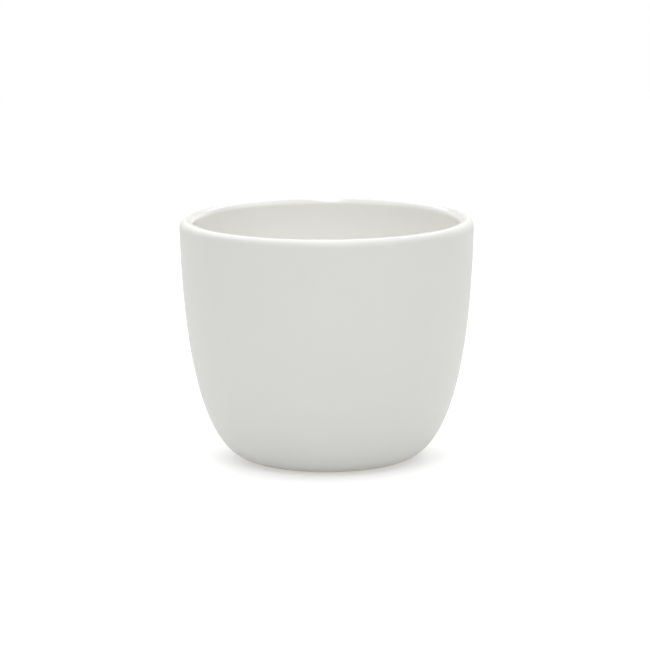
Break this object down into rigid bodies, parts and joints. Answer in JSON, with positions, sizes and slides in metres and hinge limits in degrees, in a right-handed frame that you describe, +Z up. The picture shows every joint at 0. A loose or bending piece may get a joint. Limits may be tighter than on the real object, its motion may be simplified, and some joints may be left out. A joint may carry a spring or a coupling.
{
  "type": "egg cup",
  "caption": "Small round white porcelain egg cup: near-upright bowl that rounds under to a narrow foot ring, rounded lip, open well.",
  "frame": {"origin": "centre of the ring that the cup stands on, at floor level", "axes": "+Z up along the cup's axis; the cup is round, so X and Y are free"},
  "size_m": [0.055, 0.055, 0.0453],
  "materials": {
    "fired_clay": "bare, matte",
    "gloss_glaze": "gloss",
    "satin_glaze": "satin",
    "foot_glaze": "semi-gloss"
  },
  "bodies": {
    "root": {"porcelain_body": "fired_clay", "gloss_lining_glaze": "gloss_glaze", "satin_outer_glaze": "satin_glaze", "foot_well_glaze": "foot_glaze"}
  },
  "joints": []
}
